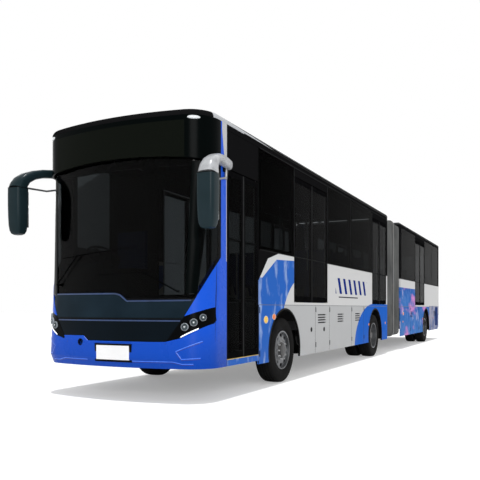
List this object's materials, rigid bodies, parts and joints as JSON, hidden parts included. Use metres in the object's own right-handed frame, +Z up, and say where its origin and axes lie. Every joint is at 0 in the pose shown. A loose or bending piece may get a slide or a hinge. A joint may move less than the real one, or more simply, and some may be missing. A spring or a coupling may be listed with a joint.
{
  "type": "articulated city bus",
  "caption": "Articulated bus with high platform doors, a low step door, hinged rear section, bellows, steered front wheels and opening doors.",
  "frame": {"origin": "middle of the whole vehicle's box, on the ground under it", "axes": "+X forward, +Y to the vehicle's left, +Z up"},
  "size_m": [18.19, 3.08, 3.65],
  "materials": {
    "blue_paint": "bright blue gloss",
    "silver_paint": "silver grey",
    "white_paint": "white gloss",
    "black_gloss": "gloss black",
    "tinted_glass": "dark tint",
    "lamp_lens": "clear lens over black",
    "chassis_black": "satin black",
    "floor_grey": "floor covering",
    "rubber_grey": "coated bellows cloth",
    "tyre": "tyre rubber on a grey steel disc",
    "seat_blue": "moulded seat",
    "trim_black": "textured black",
    "pole_steel": "grab poles",
    "red_lens": "red lens",
    "roof_white": "roof unit cover"
  },
  "bodies": {
    "front_section": {"bellows": "rubber_grey", "bonnet_panel": "black_gloss", "chassis_front": "chassis_black", "dashboard": "trim_black", "display_panel": "black_gloss", "floor_front": "floor_grey", "front_axle": "chassis_black", "front_mask": "blue_paint", "headlamps": "lamp_lens", "middle_axle": "chassis_black", "mirrors": "trim_black", "poles_front": "pole_steel", "roof_front": "silver_paint", "roof_unit_front": "roof_white", "seats_front": "seat_blue", "side_glass_front": "tinted_glass", "skirts_front": "silver_paint", "wall_front_left": "white_paint", "wall_front_right": "white_paint", "windscreen": "tinted_glass", "wipers": "trim_black"},
    "rear_section": {"chassis_rear": "chassis_black", "engine": "chassis_black", "floor_rear": "floor_grey", "poles_rear": "pole_steel", "rear_axle": "chassis_black", "rear_lamps": "red_lens", "rear_mask": "blue_paint", "roof_rear": "silver_paint", "roof_unit_rear": "roof_white", "seats_rear": "seat_blue", "side_glass_rear": "tinted_glass", "skirts_rear": "silver_paint", "wall_rear_left": "white_paint", "wall_rear_right": "white_paint"},
    "centre_hoop": {"centre_hoop": "silver_paint"},
    "door_platform_1_left_a": {"door_platform_1_left_a": "black_gloss"},
    "door_platform_1_left_b": {"door_platform_1_left_b": "black_gloss"},
    "door_platform_1_right_a": {"door_platform_1_right_a": "black_gloss"},
    "door_platform_1_right_b": {"door_platform_1_right_b": "black_gloss"},
    "door_platform_2_left_a": {"door_platform_2_left_a": "black_gloss"},
    "door_platform_2_left_b": {"door_platform_2_left_b": "black_gloss"},
    "door_platform_2_right_a": {"door_platform_2_right_a": "black_gloss"},
    "door_platform_2_right_b": {"door_platform_2_right_b": "black_gloss"},
    "door_platform_3_left_a": {"door_platform_3_left_a": "black_gloss"},
    "door_platform_3_left_b": {"door_platform_3_left_b": "black_gloss"},
    "door_platform_3_right_a": {"door_platform_3_right_a": "black_gloss"},
    "door_platform_3_right_b": {"door_platform_3_right_b": "black_gloss"},
    "door_step_left_a": {"door_step_left_a": "black_gloss"},
    "door_step_left_b": {"door_step_left_b": "black_gloss"},
    "knuckle_left": {"knuckle_left": "chassis_black"},
    "knuckle_right": {"knuckle_right": "chassis_black"},
    "wheel_front_left": {"wheel_front_left": "tyre"},
    "wheel_front_right": {"wheel_front_right": "tyre"},
    "wheel_middle_left": {"wheel_middle_left": "tyre"},
    "wheel_middle_right": {"wheel_middle_right": "tyre"},
    "wheel_rear_left": {"wheel_rear_left": "tyre"},
    "wheel_rear_right": {"wheel_rear_right": "tyre"}
  },
  "joints": [
    {"name": "articulation", "type": "hinge", "parent": "front_section", "child": "rear_section", "pos_m": [-1.327, 0, 0], "axis": [0, 0, 1], "range_deg": [-50, 50], "deforming": ["bellows"]},
    {"name": "hoop_turn", "type": "hinge", "parent": "front_section", "child": "centre_hoop", "pos_m": [-1.327, 0, 0], "axis": [0, 0, 1], "range_deg": [-25, 25]},
    {"name": "steer_left", "type": "hinge", "parent": "front_section", "child": "knuckle_left", "pos_m": [6.279, 1.02, 0.49], "axis": [0, 0, 1], "range_deg": [-42, 42]},
    {"name": "steer_right", "type": "hinge", "parent": "front_section", "child": "knuckle_right", "pos_m": [6.279, -1.02, 0.49], "axis": [0, 0, 1], "range_deg": [-42, 42]},
    {"name": "spin_front_left", "type": "hinge", "parent": "knuckle_left", "child": "wheel_front_left", "pos_m": [6.279, 1.082, 0.49], "axis": [0, 1, 0], "continuous": true},
    {"name": "spin_front_right", "type": "hinge", "parent": "knuckle_right", "child": "wheel_front_right", "pos_m": [6.279, -1.082, 0.49], "axis": [0, 1, 0], "continuous": true},
    {"name": "spin_middle_left", "type": "hinge", "parent": "front_section", "child": "wheel_middle_left", "pos_m": [0.696, 1.082, 0.49], "axis": [0, 1, 0], "continuous": true},
    {"name": "spin_middle_right", "type": "hinge", "parent": "front_section", "child": "wheel_middle_right", "pos_m": [0.696, -1.082, 0.49], "axis": [0, 1, 0], "continuous": true},
    {"name": "spin_rear_left", "type": "hinge", "parent": "rear_section", "child": "wheel_rear_left", "pos_m": [-6.239, 1.082, 0.49], "axis": [0, 1, 0], "continuous": true},
    {"name": "spin_rear_right", "type": "hinge", "parent": "rear_section", "child": "wheel_rear_right", "pos_m": [-6.239, -1.082, 0.49], "axis": [0, 1, 0], "continuous": true},
    {"name": "open_step_left_a", "type": "hinge", "parent": "front_section", "child": "door_step_left_a", "pos_m": [8.15, 1.205, 0.48], "axis": [0, 0, 1], "range_deg": [0, 85]},
    {"name": "open_step_left_b", "type": "hinge", "parent": "front_section", "child": "door_step_left_b", "pos_m": [7.281, 1.205, 0.48], "axis": [0, 0, 1], "range_deg": [-85, 0]},
    {"name": "open_platform_1_left_a", "type": "hinge", "parent": "front_section", "child": "door_platform_1_left_a", "pos_m": [5.87, 1.205, 1.215], "axis": [0, 0, 1], "range_deg": [0, 85]},
    {"name": "open_platform_1_left_b", "type": "hinge", "parent": "front_section", "child": "door_platform_1_left_b", "pos_m": [4.262, 1.205, 1.215], "axis": [0, 0, 1], "range_deg": [-85, 0]},
    {"name": "open_platform_1_right_a", "type": "hinge", "parent": "front_section", "child": "door_platform_1_right_a", "pos_m": [5.87, -1.205, 1.215], "axis": [0, 0, 1], "range_deg": [-85, 0]},
    {"name": "open_platform_1_right_b", "type": "hinge", "parent": "front_section", "child": "door_platform_1_right_b", "pos_m": [4.262, -1.205, 1.215], "axis": [0, 0, 1], "range_deg": [0, 85]},
    {"name": "open_platform_2_left_a", "type": "hinge", "parent": "front_section", "child": "door_platform_2_left_a", "pos_m": [0.955, 1.205, 1.215], "axis": [0, 0, 1], "range_deg": [0, 85]},
    {"name": "open_platform_2_left_b", "type": "hinge", "parent": "front_section", "child": "door_platform_2_left_b", "pos_m": [-0.385, 1.205, 1.215], "axis": [0, 0, 1], "range_deg": [-85, 0]},
    {"name": "open_platform_2_right_a", "type": "hinge", "parent": "front_section", "child": "door_platform_2_right_a", "pos_m": [0.955, -1.205, 1.215], "axis": [0, 0, 1], "range_deg": [-85, 0]},
    {"name": "open_platform_2_right_b", "type": "hinge", "parent": "front_section", "child": "door_platform_2_right_b", "pos_m": [-0.385, -1.205, 1.215], "axis": [0, 0, 1], "range_deg": [0, 85]},
    {"name": "open_platform_3_left_a", "type": "hinge", "parent": "rear_section", "child": "door_platform_3_left_a", "pos_m": [-4.307, 1.205, 1.215], "axis": [0, 0, 1], "range_deg": [0, 85]},
    {"name": "open_platform_3_left_b", "type": "hinge", "parent": "rear_section", "child": "door_platform_3_left_b", "pos_m": [-5.903, 1.205, 1.215], "axis": [0, 0, 1], "range_deg": [-85, 0]},
    {"name": "open_platform_3_right_a", "type": "hinge", "parent": "rear_section", "child": "door_platform_3_right_a", "pos_m": [-4.307, -1.205, 1.215], "axis": [0, 0, 1], "range_deg": [-85, 0]},
    {"name": "open_platform_3_right_b", "type": "hinge", "parent": "rear_section", "child": "door_platform_3_right_b", "pos_m": [-5.903, -1.205, 1.215], "axis": [0, 0, 1], "range_deg": [0, 85]}
  ],
  "couplings": [
    {"joint": "hoop_turn", "follows": "articulation", "ratio": 0.5},
    {"joint": "steer_right", "follows": "steer_left", "ratio": 1},
    {"joint": "open_step_left_b", "follows": "open_step_left_a", "ratio": -1},
    {"joint": "open_platform_1_left_b", "follows": "open_platform_1_left_a", "ratio": -1},
    {"joint": "open_platform_1_right_b", "follows": "open_platform_1_right_a", "ratio": -1},
    {"joint": "open_platform_2_left_b", "follows": "open_platform_2_left_a", "ratio": -1},
    {"joint": "open_platform_2_right_b", "follows": "open_platform_2_right_a", "ratio": -1},
    {"joint": "open_platform_3_left_b", "follows": "open_platform_3_left_a", "ratio": -1},
    {"joint": "open_platform_3_right_b", "follows": "open_platform_3_right_a", "ratio": -1}
  ]
}
